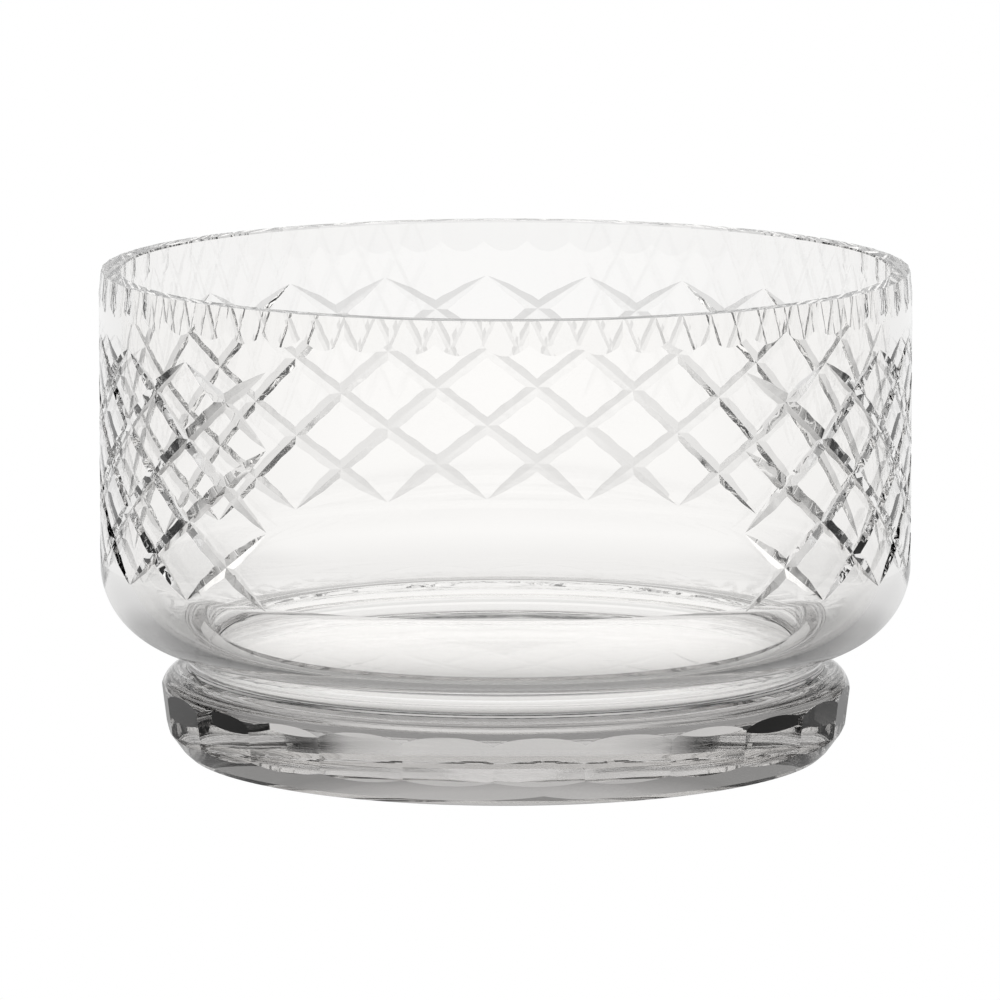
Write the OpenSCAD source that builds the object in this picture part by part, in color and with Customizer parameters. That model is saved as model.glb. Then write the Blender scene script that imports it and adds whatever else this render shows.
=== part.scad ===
// Footed crystal punch bowl: a cut glass bowl body bonded to a thick faceted glass foot.
// Millimetres. +Z is up, the origin is the centre of the foot's underside, and -Y is the front.

/* [Bowl] */
// Height from the table to the rim
height = 150; // [140:1:165]
// Outside diameter of the straight wall
bowl_d = 250; // [244:1:256]
// Thickness of the straight wall
wall_t = 6.8; // [6:0.1:8]
// Radius of the lower outside corner
corner_r = 25; // [22:0.5:28]
// Radius of the lower inside corner
inner_corner_r = 21.7; // [18:0.1:24]
// Height of the ledge that the lower inside corner runs down to
ledge_z = 38.4; // [37:0.1:40]
// Height of the bowl's underside beside the neck
belly_z = 34; // [33:0.5:36]

/* [Neck and joint] */
// Outside diameter of the neck between the bowl and the foot
neck_d = 197.4; // [192:0.1:198]
// Diameter of the well inside the neck
well_d = 186; // [178:1:187]
// Radius of the lip where the inside turns down into the well
lip_r = 2; // [1:0.5:4]
// Height of the foot's flat top, which is the floor of the well
floor_z = 26.7; // [26.2:0.1:28]
// Radius of the fillet where the well meets its floor
fillet_r = 1.6; // [1:0.1:2.5]
// Thickness of the bonded joint between the bowl and the foot
bond_t = 0.3; // [0.2:0.1:0.6]

/* [Foot] */
// Largest diameter of the foot
foot_d = 212.9; // [208:0.1:216]
// Height of the foot's largest diameter
girth_z = 19.2; // [18:0.1:20.5]
// Radius of the foot's rounded shoulder
shoulder_r = 6.85; // [6:0.05:7.5]
// Height where the lower bevel starts
bevel_z = 8.7; // [7:0.1:10]
// Diameter of the foot at the top of the bevel
bevel_top_d = 210.6; // [206:0.1:211]
// Diameter of the flat that meets the table
base_d = 197; // [190:1:199]
// Diameter of the hollow ground into the underside
hollow_d = 182; // [170:1:184]
// Depth of that hollow at its centre
hollow_depth = 0.8; // [0.5:0.1:3]

/* [Cuts] */
// Number of flutes round the rim
rim_flutes = 56; // [48:1:64]
// Length of a rim flute below the rim
flute_len = 10.3; // [8:0.1:13]
// Depth of a rim flute at the rim
flute_depth = 1; // [0.7:0.05:1.6]
// Radius of the slightly hollow face of a rim flute
flute_r = 200; // [130:10:600]
// Number of flats cut round the foot
foot_flats = 24; // [20:1:28]
// Distance from the axis to a flat at the foot's largest diameter
flat_r = 105.5; // [104.5:0.1:106]
// Lean of a flat, bottom inward
flat_lean = 7.1; // [5:0.1:9]

/* [Hidden] */
$fn = 96;
eps = 0.01;
wall_r = bowl_d / 2;
inner_r = wall_r - wall_t;
neck_r = neck_d / 2;
well_r = well_d / 2;
foot_r = foot_d / 2;
joint_z = floor_z + bond_t;
bond_r = well_r - fillet_r;
fillet_z = joint_z + fillet_r;
corner_x = wall_r - corner_r;
corner_z = belly_z + corner_r;
inner_x = inner_r - inner_corner_r;
inner_corner_z = ledge_z + inner_corner_r;
shoulder_x = foot_r - shoulder_r;
shoulder_top_z = girth_z + shoulder_r;
// a flute leans outward so that its depth runs out at its lower end
flute_lean = atan(flute_depth / flute_len);
// turn of the flats about the axis, so that one ridge stands just left of the front
flat_turn = -2;

// Rectangle from one corner to the opposite one in the plane of radius and height.
module span(r0, z0, r1, z1) {
    translate([r0, z0]) square([r1 - r0, z1 - z0]);
}

// Outside of the bowl, as a half section.
module bowl_outline() {
    span(0, corner_z, wall_r, height);
    translate([corner_x, corner_z]) intersection() {
        circle(r = corner_r, $fn = 128);
        span(-corner_x, -corner_r, corner_r, 0);
    }
    span(0, belly_z, corner_x, corner_z);
    span(0, joint_z, neck_r, belly_z + eps);
}

// Everything the bowl holds, as a half section: the wide part, the corner, the lip, the well and its fillet.
module bowl_cavity() {
    span(-1, inner_corner_z, inner_r, height + 1);
    translate([inner_x, inner_corner_z]) intersection() {
        circle(r = inner_corner_r, $fn = 128);
        span(-inner_x - 1, -inner_corner_r, inner_corner_r, eps);
    }
    span(-1, ledge_z, inner_x, inner_corner_z + eps);
    difference() {
        span(-1, ledge_z - lip_r, well_r + lip_r, ledge_z + eps);
        translate([well_r + lip_r, ledge_z - lip_r]) circle(r = lip_r, $fn = 128);
    }
    span(-1, fillet_z, well_r, ledge_z - lip_r + eps);
    translate([bond_r, fillet_z]) circle(r = fillet_r, $fn = 128);
    span(-1, joint_z - 1, bond_r, fillet_z + eps);
}

// One slightly hollow flute in the outside of the rim, at the front.
module rim_flute() {
    translate([0, -(wall_r - flute_depth), height])
        rotate([-flute_lean, 0, 0])
            translate([0, -flute_r, -2 * flute_len])
                cylinder(r = flute_r, h = 4 * flute_len, $fn = 720);
}

// One leaning flat across the side of the foot, at the front.
module foot_flat() {
    translate([0, -flat_r, girth_z])
        rotate([flat_lean, 0, 0])
            translate([-foot_r / 4, -foot_r / 4, -foot_r / 2])
                cube([foot_r / 2, foot_r / 4, foot_r]);
}

module bowl() {
    color([0.93, 0.94, 0.94, 0.4])
        difference() {
            rotate_extrude($fn = 180) difference() {
                bowl_outline();
                bowl_cavity();
            }
            for (i = [0 : rim_flutes - 1])
                rotate([0, 0, i * 360 / rim_flutes]) rim_flute();
        }
}

// The thin ring where the bowl's neck is bonded to the foot.
module bond() {
    color([0.35, 0.36, 0.37, 0.8])
        rotate_extrude($fn = 180) span(bond_r, floor_z, neck_r, joint_z);
}

module foot() {
    color([0.85, 0.86, 0.86, 0.5])
        difference() {
            rotate_extrude($fn = 180) {
                span(0, shoulder_top_z - eps, neck_r, floor_z);
                span(0, girth_z, shoulder_x, shoulder_top_z);
                translate([shoulder_x, girth_z]) intersection() {
                    circle(r = shoulder_r, $fn = 128);
                    span(-shoulder_x, 0, shoulder_r, shoulder_r);
                }
                polygon([[0, 0], [base_d / 2, 0], [bevel_top_d / 2, bevel_z], [foot_r, girth_z], [0, girth_z]]);
            }
            for (i = [0 : foot_flats - 1])
                rotate([0, 0, flat_turn + (i + 0.5) * 360 / foot_flats]) foot_flat();
            translate([0, 0, -hollow_depth])
                cylinder(h = 2 * hollow_depth, r1 = hollow_d, r2 = 0, $fn = 180);
        }
}

bowl();
bond();
foot();
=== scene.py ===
"""Footed cut glass punch bowl. Lengths are in millimetres until mm() turns them into metres."""
import math

import bmesh
import bpy
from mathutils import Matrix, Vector


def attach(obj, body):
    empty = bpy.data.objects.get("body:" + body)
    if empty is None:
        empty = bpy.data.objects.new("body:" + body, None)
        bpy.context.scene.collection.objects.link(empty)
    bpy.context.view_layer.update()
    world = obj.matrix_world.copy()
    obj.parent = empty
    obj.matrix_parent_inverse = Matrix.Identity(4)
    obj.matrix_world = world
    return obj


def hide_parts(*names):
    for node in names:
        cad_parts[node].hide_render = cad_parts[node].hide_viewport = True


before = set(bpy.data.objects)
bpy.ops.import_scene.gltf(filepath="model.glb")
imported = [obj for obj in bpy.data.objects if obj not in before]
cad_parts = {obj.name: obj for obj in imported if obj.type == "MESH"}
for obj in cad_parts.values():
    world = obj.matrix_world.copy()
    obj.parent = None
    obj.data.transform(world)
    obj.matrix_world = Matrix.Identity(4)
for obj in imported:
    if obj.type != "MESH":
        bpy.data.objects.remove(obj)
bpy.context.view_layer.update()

# ---- Sizes -------------------------------------------------------------------------------------
HEIGHT = 150.0
WALL_R = 125.0
INNER_R = 118.2
RIM_EASE = 0.5
CORNER_R = 25.0
CORNER_Z = 59.0
INNER_CORNER_R = 21.7
INNER_CORNER_Z = 60.1
BELLY_END = 4.0
NECK_R = 98.7
NECK_BEND_R = 3.2
NECK_BEND_Z = 32.75
WELL_R = 93.0
LIP_R = 2.0
FLOOR_Z = 26.7
BOND_T = 0.3
FILLET_R = 1.6
JOINT_Z = FLOOR_Z + BOND_T
BOND_R = WELL_R - FILLET_R
SKIN = 0.02  # the gap between pieces that touch

SHOULDER_X = 99.6
GIRTH_Z = 19.2
SHOULDER_R = 6.85
BEVEL_R = 105.3
BEVEL_Z = 8.7
BASE_R = 98.5
EDGE_OUT = 1.8
EDGE_Z = 2.0
HEEL_IN = 1.5
HEEL_Z = 0.4
HOLLOW_R = 91.0
HOLLOW_DEPTH = 0.8

FLUTES = 56
FLUTE_LEN = 10.3
FLUTE_DEPTH = 1.0
FLUTE_R = 200.0
FLUTE_STEP = 0.9
FLUTE_STEPS = 12
FLATS = 24
FLAT_R = 105.5
FLAT_LEAN = 7.1
FLAT_TURN = -2.0
FLAT_LOW_Z = -1.0
FLAT_HIGH_Z = 27.5
CUTTER_R = 130.0

# The mitre cuts: long straight strokes that cross in diamonds, with a plain panel at the front.
LEVELS = [132.0, 121.3, 108.5, 96.0, 83.5, 71.4, 59.5]
FIRST_TIP = 34.65
COLUMNS = 19
REAR_DRIFT = 4.9
MITRE_DEPTH = 1.02
MITRE_HALF_ANGLE = 67.0
MITRE_TAPER = 20.0
MITRE_STEPS = 60
MITRE_TOP = 0.5
RUN_OUT = 0.03
HAND_WAVE = 0.07
WAVE_LENGTH = 9.0
WAVE_SHIFT = 1.7

# Mesh: points round each ring, the supports of long straight runs, and the angle of a crisp edge.
SEGMENTS = 448
SUPPORT = 0.4
LONG_RUN = 3.5
SMOOTH_ANGLE = 9

# Glass
GLASS_IOR = 1.54
TINT = (1.0, 0.994, 0.985)
RIPPLE = 0.02
RIPPLE_SCALE = 22
CLOUD_SCALE = 260
FOOT_DENSITY = 2.1
FOOT_DEPTH_COLOUR = (0.05, 0.02, 0.0, 1)


def mm(v):
    return v * 0.001


def polar(r, turn, z):
    """A point at radius r, turned clockwise from the front as seen from above."""
    a = math.radians(turn)
    return Vector((-mm(r) * math.sin(a), -mm(r) * math.cos(a), mm(z)))


def arc(cx, cz, r, start, end, steps):
    pts = []
    for i in range(steps + 1):
        a = math.radians(start + (end - start) * i / steps)
        pts.append((cx + r * math.cos(a), cz + r * math.sin(a)))
    return pts


def supported(profile):
    """Adds a point close to both ends of each long straight run, so that smooth normals stay true."""
    pts = []
    for i, a in enumerate(profile):
        b = profile[(i + 1) % len(profile)]
        pts.append(a)
        run = math.hypot(b[0] - a[0], b[1] - a[1])
        if run > LONG_RUN and (a[0] > 0 or b[0] > 0):
            for t in (SUPPORT / run, 1 - SUPPORT / run):
                pts.append((a[0] + (b[0] - a[0]) * t, a[1] + (b[1] - a[1]) * t))
    return pts


def link(name, mesh):
    ob = bpy.data.objects.new(name, mesh)
    bpy.context.scene.collection.objects.link(ob)
    return ob


def revolve(name, profile):
    """A closed solid of revolution from a loop of (radius, height) points."""
    pts = supported(profile)
    bm = bmesh.new()
    rings = []
    for r, z in pts:
        if r < 1e-6:
            rings.append([bm.verts.new((0, 0, mm(z)))] * SEGMENTS)
        else:
            rings.append([bm.verts.new(polar(r, 360 * k / SEGMENTS, z)) for k in range(SEGMENTS)])
    for i, low in enumerate(rings):
        high = rings[(i + 1) % len(rings)]
        for k in range(SEGMENTS):
            n = (k + 1) % SEGMENTS
            face = []
            for v in (low[k], low[n], high[n], high[k]):
                if v not in face:
                    face.append(v)
            if len(face) > 2:
                bm.faces.new(face)
    return link(name, solid(name, bm))


def solid(name, bm):
    bmesh.ops.recalc_face_normals(bm, faces=bm.faces)
    if bm.calc_volume(signed=True) < 0:
        bmesh.ops.reverse_faces(bm, faces=bm.faces)
    mesh = bpy.data.meshes.new(name)
    bm.to_mesh(mesh)
    bm.free()
    return mesh


def subtract(ob, cutter):
    mod = ob.modifiers.new("cut", "BOOLEAN")
    mod.operation = "DIFFERENCE"
    mod.solver = "MANIFOLD"
    mod.object = cutter
    graph = bpy.context.evaluated_depsgraph_get()
    mesh = bpy.data.meshes.new_from_object(ob.evaluated_get(graph))
    ob.modifiers.remove(mod)
    ob.data = mesh
    bpy.data.objects.remove(cutter)


def tube(bm, sections):
    """A closed prism through equal sections of points."""
    rows = [[bm.verts.new(p) for p in s] for s in sections]
    n = len(rows[0])
    for a, b in zip(rows, rows[1:]):
        for k in range(n):
            bm.faces.new((a[k], a[(k + 1) % n], b[(k + 1) % n], b[k]))
    bm.faces.new(rows[0])
    bm.faces.new(rows[-1])


def tip_turn(k):
    """Turn of tip column k, which may be a half step. The columns drift a little round the back."""
    return FIRST_TIP + (360 - 2 * FIRST_TIP) * k / COLUMNS + REAR_DRIFT * math.sin(math.pi * k / COLUMNS) ** 2


def mitre(bm, k0, level0, k1, level1):
    """One V stroke along the outside of the wall, with a slight wave, running out at both ends."""
    path = []
    for i in range(MITRE_STEPS + 1):
        t = i / MITRE_STEPS
        lv = level0 + (level1 - level0) * t
        base = min(int(lv), len(LEVELS) - 2)
        z = LEVELS[base] + (LEVELS[base + 1] - LEVELS[base]) * (lv - base)
        path.append((tip_turn(k0 + (k1 - k0) * t), z))
    length = [0.0]
    for a, b in zip(path, path[1:]):
        step = math.hypot(math.radians(b[0] - a[0]) * WALL_R, b[1] - a[1])
        length.append(length[-1] + step)
    half = math.tan(math.radians(MITRE_HALF_ANGLE))
    sections = []
    for i, (turn, z) in enumerate(path):
        near = min(length[i], length[-1] - length[i]) / MITRE_TAPER
        fade = 1 - (1 - min(near, 1.0)) ** 2
        phase = 2 * math.pi * length[i] / WAVE_LENGTH + WAVE_SHIFT * k0 + level0
        wave = 1 + HAND_WAVE * math.sin(phase)
        depth = MITRE_DEPTH * fade * wave - RUN_OUT
        p = path[max(i - 1, 0)]
        q = path[min(i + 1, MITRE_STEPS)]
        along = math.atan2(q[1] - p[1], math.radians(q[0] - p[0]) * WALL_R)
        w = (depth + MITRE_TOP) * half
        du = math.degrees(-math.sin(along) * w / WALL_R)
        dz = math.cos(along) * w
        sections.append(
            (
                polar(WALL_R - depth, turn, z),
                polar(WALL_R + MITRE_TOP, turn + du, z + dz),
                polar(WALL_R + MITRE_TOP, turn - du, z - dz),
            )
        )
    tube(bm, sections)


def mitre_cutter(lean):
    """All the strokes that lean one way: lean 1 runs clockwise going down, -1 the other way."""
    bm = bmesh.new()
    last = len(LEVELS) - 1
    starts = [(k, 0) for k in range(COLUMNS + 1)]
    edge = 0 if lean > 0 else COLUMNS
    starts += [(edge, lv) for lv in range(2, last, 2)]
    for k, lv in starts:
        room = (COLUMNS - k if lean > 0 else k) * 2
        run = min(last - lv, room)
        if run > 0:
            mitre(bm, k, lv, k + lean * run / 2, lv + run)
    return link("mitres", solid("mitres", bm))


def flute_cutter(first):
    """Every second flute round the rim, so that no two in one cutter overlap."""
    bm = bmesh.new()
    lean = FLUTE_DEPTH / FLUTE_LEN
    for i in range(first, FLUTES, 2):
        turn = 360 * i / FLUTES
        rows = []
        for z in (HEIGHT - 2 * FLUTE_LEN, HEIGHT + 3):
            face = WALL_R - FLUTE_DEPTH + (HEIGHT - z) * lean
            row = []
            for j in range(-FLUTE_STEPS, FLUTE_STEPS + 1):
                x = j * FLUTE_STEP
                out = face + FLUTE_R - math.sqrt(FLUTE_R**2 - x**2)
                row.append((x, out))
            row.append((row[-1][0], CUTTER_R + 4))
            row.append((row[0][0], CUTTER_R + 4))
            rows.append([around(x, out, z, turn) for x, out in row])
        tube(bm, rows)
    return link("flutes", solid("flutes", bm))


def around(x, out, z, turn):
    """A point x to the side of and out from the axis at the front, then turned."""
    a = math.radians(turn)
    c = math.cos(a)
    s = math.sin(a)
    return Vector((mm(x * c - out * s), mm(-out * c - x * s), mm(z)))


def flat_cutter():
    """A ring with a flat-sided cone for its inside, which leaves the flats round the foot."""
    bm = bmesh.new()
    lean = math.tan(math.radians(FLAT_LEAN))
    corner = 1 / math.cos(math.pi / FLATS)
    rings = []
    for r, z in (
        (FLAT_R + (FLAT_LOW_Z - GIRTH_Z) * lean, FLAT_LOW_Z),
        (FLAT_R + (FLAT_HIGH_Z - GIRTH_Z) * lean, FLAT_HIGH_Z),
        (CUTTER_R, FLAT_HIGH_Z),
        (CUTTER_R, FLAT_LOW_Z),
    ):
        rings.append([bm.verts.new(polar(r * corner, 360 * k / FLATS - FLAT_TURN, z)) for k in range(FLATS)])
    for i, a in enumerate(rings):
        b = rings[(i + 1) % 4]
        for k in range(FLATS):
            n = (k + 1) % FLATS
            bm.faces.new((a[k], a[n], b[n], b[k]))
    return link("flats", solid("flats", bm))


def wall_side(mesh, poly):
    """1 on the straight outer wall, -1 on the straight inner wall, 0 elsewhere."""
    if abs(poly.normal.z) > 0.02:
        return 0
    for radius, side in ((WALL_R, 1), (INNER_R, -1)):
        if all(abs(mesh.vertices[v].co.xy.length - mm(radius)) < mm(0.012) for v in poly.vertices):
            return side
    return 0


def polish(ob):
    """Smooth normals with crisp cut edges, and exactly radial normals on the straight wall."""
    mesh = ob.data
    for p in mesh.polygons:
        p.use_smooth = True
    mesh.set_sharp_from_angle(angle=math.radians(SMOOTH_ANGLE))
    sides = [wall_side(mesh, p) for p in mesh.polygons]
    seen = {}
    for p in mesh.polygons:
        for key in p.edge_keys:
            seen.setdefault(key, []).append(sides[p.index])
    for edge in mesh.edges:
        if len(set(seen[edge.key])) > 1 and abs(mesh.vertices[edge.vertices[0]].co.z - mm(CORNER_Z)) > mm(1):
            edge.use_edge_sharp = True
    normals = [n.vector.copy() for n in mesh.corner_normals]
    for p in mesh.polygons:
        if sides[p.index]:
            for li in p.loop_indices:
                co = mesh.vertices[mesh.loops[li].vertex_index].co
                normals[li] = Vector((co.x, co.y, 0)).normalized() * sides[p.index]
    mesh.normals_split_custom_set(normals)


# ---- Bowl --------------------------------------------------------------------------------------
def cavity():
    """The inside of the bowl from the foot of the well up to the rim."""
    cx = INNER_R - INNER_CORNER_R
    lip_x = WELL_R + LIP_R
    if lip_x > cx:
        lip_z = INNER_CORNER_Z - math.sqrt(INNER_CORNER_R**2 - (lip_x - cx) ** 2)
        start = -math.degrees(math.acos((lip_x - cx) / INNER_CORNER_R))
    else:
        lip_z = INNER_CORNER_Z - INNER_CORNER_R
        start = -90
    pts = arc(BOND_R, JOINT_Z + FILLET_R, FILLET_R, -90, 0, 10)
    pts += arc(lip_x, lip_z - LIP_R, LIP_R, 180, 90, 14)
    pts += arc(cx, INNER_CORNER_Z, INNER_CORNER_R, start, 0, 28)[1:]
    return pts + [(INNER_R, HEIGHT - RIM_EASE), (INNER_R + RIM_EASE, HEIGHT)]


outside = [(WALL_R, HEIGHT)]
outside += arc(WALL_R - CORNER_R, CORNER_Z, CORNER_R, 0, -90 + BELLY_END, 28)
outside += arc(NECK_R + NECK_BEND_R, NECK_BEND_Z - NECK_BEND_R, NECK_BEND_R, 95, 180, 12)
outside += [(NECK_R, JOINT_Z)]
bowl = revolve("bowl_glass", cavity() + outside)
for part in (mitre_cutter(1), mitre_cutter(-1), flute_cutter(0), flute_cutter(1)):
    subtract(bowl, part)
polish(bowl)

# ---- Bonded joint ------------------------------------------------------------------------------
low = FLOOR_Z + SKIN
high = JOINT_Z - SKIN
bond = revolve("bond_ring", [(BOND_R, low), (BOND_R, high), (NECK_R, high), (NECK_R, low)])
polish(bond)

# ---- Foot --------------------------------------------------------------------------------------
side = [(NECK_R, FLOOR_Z), (SHOULDER_X + 0.4, GIRTH_Z + SHOULDER_R * 0.998)]
side += arc(SHOULDER_X, GIRTH_Z, SHOULDER_R, 82, 0, 14)
side += [(BEVEL_R, BEVEL_Z), (BASE_R + EDGE_OUT, EDGE_Z), (BASE_R, HEEL_Z), (BASE_R - HEEL_IN, 0)]
hollow = [(HOLLOW_R, 0), (0, HOLLOW_DEPTH)]
foot = revolve("foot_glass", [(0, FLOOR_Z), (BOND_R, FLOOR_Z)] + side + hollow)
subtract(foot, flat_cutter())
polish(foot)


# ---- Materials ---------------------------------------------------------------------------------
def new_material(name):
    mat = bpy.data.materials.new(name)
    mat.use_nodes = True
    return mat, mat.node_tree, mat.node_tree.nodes["Principled BSDF"]


def math_node(tree, operation, *values):
    node = tree.nodes.new("ShaderNodeMath")
    node.operation = operation
    for socket, v in zip(node.inputs, values):
        if isinstance(v, (int, float)):
            socket.default_value = v
        else:
            tree.links.new(v, socket)
    return node.outputs[0]


def place_of(tree, output):
    """The coordinates of a point, whole and split into axes."""
    place = tree.nodes.new("ShaderNodeTexCoord").outputs[output]
    axes = tree.nodes.new("ShaderNodeSeparateXYZ")
    tree.links.new(place, axes.inputs[0])
    return place, axes


def length_of(tree, vector):
    node = tree.nodes.new("ShaderNodeVectorMath")
    node.operation = "LENGTH"
    tree.links.new(vector, node.inputs[0])
    return node.outputs["Value"]


def noise_of(tree, scale, detail):
    place = tree.nodes.new("ShaderNodeTexCoord")
    noise = tree.nodes.new("ShaderNodeTexNoise")
    noise.inputs["Scale"].default_value = scale
    noise.inputs["Detail"].default_value = detail
    tree.links.new(place.outputs["Object"], noise.inputs["Vector"])
    return noise.outputs["Fac"]


def clear_glass(name):
    """Heavy lead crystal: clear, with the faint waviness of polished glass."""
    mat, tree, shader = new_material(name)
    shader.inputs["Base Color"].default_value = (*TINT, 1)
    shader.inputs["Roughness"].default_value = 0.0
    shader.inputs["IOR"].default_value = GLASS_IOR
    shader.inputs["Transmission Weight"].default_value = 1.0
    bump = tree.nodes.new("ShaderNodeBump")
    bump.inputs["Strength"].default_value = RIPPLE
    bump.inputs["Distance"].default_value = 0.001
    tree.links.new(noise_of(tree, RIPPLE_SCALE, 1), bump.inputs["Height"])
    tree.links.new(bump.outputs["Normal"], shader.inputs["Normal"])
    return mat


def deepen(mat):
    """Makes thick glass go grey with depth, and leaves it open where the bowl is fused to its top."""
    tree = mat.node_tree
    output = tree.nodes["Material Output"]
    place, axes = place_of(tree, "Object")
    flat = tree.nodes.new("ShaderNodeVectorMath")
    flat.operation = "MULTIPLY"
    flat.inputs[1].default_value = (1, 1, 0)
    tree.links.new(place, flat.inputs[0])
    beyond = math_node(tree, "GREATER_THAN", length_of(tree, flat.outputs[0]), mm(BOND_R))
    on_top = math_node(tree, "GREATER_THAN", axes.outputs["Z"], mm(FLOOR_Z - SKIN))
    through = tree.nodes.new("ShaderNodeBsdfTransparent")
    mix = tree.nodes.new("ShaderNodeMixShader")
    tree.links.new(math_node(tree, "MULTIPLY", beyond, on_top), mix.inputs[0])
    tree.links.new(tree.nodes["Principled BSDF"].outputs[0], mix.inputs[1])
    tree.links.new(through.outputs[0], mix.inputs[2])
    tree.links.new(mix.outputs[0], output.inputs["Surface"])
    depth = tree.nodes.new("ShaderNodeVolumeAbsorption")
    depth.inputs["Color"].default_value = FOOT_DEPTH_COLOUR
    depth.inputs["Density"].default_value = FOOT_DENSITY
    tree.links.new(depth.outputs[0], output.inputs["Volume"])
    return mat


def cloudy_seam_and_painted_shade(name):
    """The faint, cloudy edge of the clear joint, in dark greys that are partly its own cloudiness and partly
    painted shade for the dark line round the neck.
    """
    mat, tree, shader = new_material(name)
    shader.inputs["Roughness"].default_value = 0.45
    # Painted shade: these dark greys stand partly for the joint's cloudy edge and partly for the shade that
    # shows as a dark line round the neck.
    ramp = tree.nodes.new("ShaderNodeValToRGB")
    ramp.color_ramp.elements[0].position = 0.4
    ramp.color_ramp.elements[0].color = (0.12, 0.12, 0.12, 1)
    ramp.color_ramp.elements[1].position = 0.6
    ramp.color_ramp.elements[1].color = (0.5, 0.5, 0.5, 1)
    tree.links.new(noise_of(tree, CLOUD_SCALE, 3), ramp.inputs["Fac"])
    tree.links.new(ramp.outputs["Color"], shader.inputs["Base Color"])
    return mat


def see_through(name):
    """No surface at all."""
    mat, tree, shader = new_material(name)
    tree.nodes.remove(shader)
    through = tree.nodes.new("ShaderNodeBsdfTransparent")
    tree.links.new(through.outputs[0], tree.nodes["Material Output"].inputs["Surface"])
    return mat


def open_joint(ob, clear):
    """Clears a piece's level faces in the joint, as fused glass shows no surface there."""
    ob.data.materials.append(clear)
    for p in ob.data.polygons:
        level = abs(p.normal.z) > 0.9 and mm(FLOOR_Z - SKIN) < p.center.z < mm(JOINT_Z + SKIN)
        if level and p.center.xy.length > mm(BOND_R - SKIN):
            p.material_index = 1


fused = see_through("fused_face")
for piece, node, slot, finish in (
    (bowl, "bowl", "bowl_crystal", clear_glass("bowl_crystal")),
    # The bond seam's dark greys are partly painted shade.
    (bond, "bond", "bond_seam", cloudy_seam_and_painted_shade("bond_seam")),
    (foot, "foot", "foot_crystal", deepen(clear_glass("foot_crystal"))),
):
    piece.data.materials.clear()
    piece.data.materials.append(finish)
    if piece is not foot:
        open_joint(piece, fused)
    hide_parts(node)
    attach(piece, "root")

# ---- Camera ------------------------------------------------------------------------------------
CAMERA_DISTANCE = 2.9
CAMERA_ELEVATION = 8.72
CAMERA_LENS = 338.4
AIM = Vector((-0.0017, 0, 0.0778))

camera = bpy.data.objects.new("camera", bpy.data.cameras.new("camera"))
bpy.context.scene.collection.objects.link(camera)
camera.data.sensor_width = 36
camera.data.lens = CAMERA_LENS
camera.data.clip_start = 0.1
camera.data.clip_end = 100
tilt = math.radians(CAMERA_ELEVATION)
camera.location = AIM + CAMERA_DISTANCE * Vector((0, -math.cos(tilt), math.sin(tilt)))
camera.rotation_euler = (math.pi / 2 - tilt, 0, 0)
bpy.context.scene.camera = camera

# ---- Light -------------------------------------------------------------------------------------
# A bright card stands behind the bowl, dark flags stand to both sides of it, and the front is lit.
# What the camera sees directly is plain white; what the glass bends towards is the studio.
# Each list gives (where, grey): degrees from straight behind, degrees up, or metres from the axis.
WHITE = (1, 1, 1, 1)
FLOOR_HALF = 12.0
FLOOR_Z_OFFSET = -0.0003
AZIMUTH_WORLD = [
    (0, 1.0),
    (14, 0.98),
    (22, 0.75),
    (29, 0.12),
    (34, 0.02),
    (68, 0.02),
    (82, 0.5),
    (96, 0.9),
    (180, 0.85),
]
ELEVATION = [(0, 0.75), (8, 0.75), (20, 0.9), (40, 1.1), (60, 0.9), (90, 0.8)]
OVERHEAD_START = 42
OVERHEAD_SPAN = 20
# The far floor's greys are painted light, brighter towards the front.
AZIMUTH_FLOOR = [(0, 0.96), (14, 0.95), (28, 0.9), (42, 0.88), (100, 0.88), (125, 1.2), (180, 1.3)]
SHADE_SPAN = 0.4
# Painted shadow ring round the foot on the floor, with a painted pool of light right under the foot.
CONTACT_SHADE = [
    (0, 1.5),
    (0.08, 1.45),
    (0.1, 0.75),
    (0.12, 0.38),
    (0.17, 0.4),
    (0.22, 0.72),
    (0.3, 0.86),
    (0.4, 0.97),
]
# The floor turns from near to far, and darkens towards the front with painted shadow, along these slopes and
# offsets.
FAR_LINE = (6.0, -0.8)
FRONT_LINE = (8.0, 0.75)
# Painted shadow in front of the bowl goes down to this grey.
FRONT_SHADE = 0.25
BOUNCES = 24

scene = bpy.context.scene
scene.view_settings.view_transform = "Standard"
for name in ("max_bounces", "transmission_bounces", "glossy_bounces"):
    setattr(scene.cycles, name, BOUNCES)


def ramp_of(tree, source, span, stops):
    """A grey ramp over a value from 0 to span. A grey may be above 1."""
    ramp = tree.nodes.new("ShaderNodeValToRGB")
    tree.links.new(math_node(tree, "DIVIDE", source, span), ramp.inputs[0])
    band = ramp.color_ramp
    band.elements.remove(band.elements[-1])
    for i, (at, grey) in enumerate(stops):
        e = band.elements[0] if i == 0 else band.elements.new(at / span)
        e.position = at / span
        e.color = (grey, grey, grey, 1)
    return ramp.outputs["Color"]


def azimuth_of(tree, axes):
    """Degrees away from the direction straight behind the bowl, either way round."""
    turn = math_node(tree, "ARCTAN2", axes.outputs["X"], axes.outputs["Y"])
    return math_node(tree, "DEGREES", math_node(tree, "ABSOLUTE", turn))


def blend(tree, factor, low, high):
    mix = tree.nodes.new("ShaderNodeMix")
    mix.data_type = "RGBA"
    for socket, v in ((mix.inputs["Factor"], factor), (mix.inputs["A"], low), (mix.inputs["B"], high)):
        if isinstance(v, tuple):
            socket.default_value = v
        else:
            tree.links.new(v, socket)
    return mix.outputs["Result"]


def product(tree, a, b):
    mix = tree.nodes.new("ShaderNodeMix")
    mix.data_type = "RGBA"
    mix.blend_type = "MULTIPLY"
    mix.inputs["Factor"].default_value = 1
    tree.links.new(a, mix.inputs["A"])
    tree.links.new(b, mix.inputs["B"])
    return mix.outputs["Result"]


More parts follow.
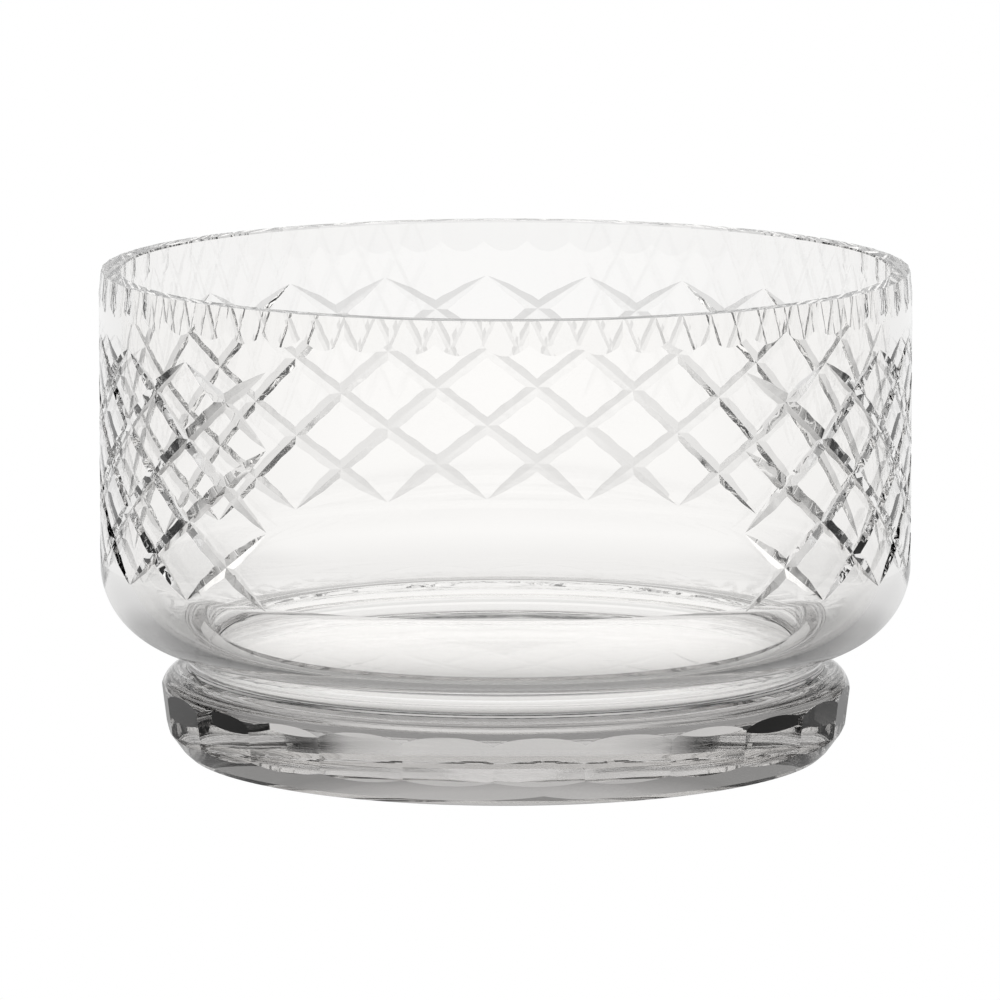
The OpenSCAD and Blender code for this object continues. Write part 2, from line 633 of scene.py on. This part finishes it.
def clamped(tree, source, slope, offset, low=0):
    """slope * source + offset, kept between low and 1."""
    line = math_node(tree, "MULTIPLY_ADD", source, slope, offset)
    return math_node(tree, "MINIMUM", math_node(tree, "MAXIMUM", line, low), 1)


def white_if_direct(tree, colour):
    """Plain white for what the camera sees directly, and the colour for what the glass sees."""
    path = tree.nodes.new("ShaderNodeLightPath")
    return blend(tree, path.outputs["Is Camera Ray"], colour, WHITE)


def light_world():
    world = bpy.data.worlds.new("studio")
    scene.world = world
    world.use_nodes = True
    tree = world.node_tree
    axes = place_of(tree, "Generated")[1]
    around_it = ramp_of(tree, azimuth_of(tree, axes), 180, AZIMUTH_WORLD)
    rise = math_node(tree, "DEGREES", math_node(tree, "ARCSINE", axes.outputs["Z"]))
    height = ramp_of(tree, math_node(tree, "MAXIMUM", rise, 0), 90, ELEVATION)
    overhead = clamped(tree, rise, 1 / OVERHEAD_SPAN, -OVERHEAD_START / OVERHEAD_SPAN)
    card = product(tree, blend(tree, overhead, around_it, WHITE), height)
    tree.links.new(white_if_direct(tree, card), tree.nodes["Background"].inputs["Color"])
    tree.nodes["Background"].inputs["Strength"].default_value = 1


def light_floor():
    bm = bmesh.new()
    bmesh.ops.create_grid(bm, x_segments=1, y_segments=1, size=FLOOR_HALF)
    floor = link("floor", bpy.data.meshes.new("floor"))
    bm.to_mesh(floor.data)
    bm.free()
    floor.location.z = FLOOR_Z_OFFSET
    # The floor glows though it is no lamp: for what the glass sees it carries painted light and painted
    # shadow, and the camera sees it plain white.
    painted_floor, tree, shader = new_material("floor_painted_light_and_shadow")
    tree.nodes.remove(shader)
    place, axes = place_of(tree, "Object")
    # Painted light on the far floor, brighter towards the front.
    far = ramp_of(tree, azimuth_of(tree, axes), 180, AZIMUTH_FLOOR)
    reach = length_of(tree, place)
    # Painted shadow ring round the foot, with a painted pool of light right under it.
    shade = ramp_of(tree, math_node(tree, "MINIMUM", reach, SHADE_SPAN), SHADE_SPAN, CONTACT_SHADE)
    away = clamped(tree, reach, *FAR_LINE)
    # Painted shadow on the floor in front of the bowl.
    front = math_node(tree, "MAXIMUM", clamped(tree, axes.outputs["Y"], *FRONT_LINE, FRONT_SHADE), away)
    painted_tone = product(tree, product(tree, blend(tree, away, WHITE, far), shade), front)
    glow = tree.nodes.new("ShaderNodeEmission")
    tree.links.new(white_if_direct(tree, painted_tone), glow.inputs["Color"])
    tree.links.new(glow.outputs[0], tree.nodes["Material Output"].inputs["Surface"])
    floor.data.materials.append(painted_floor)


light_world()
light_floor()
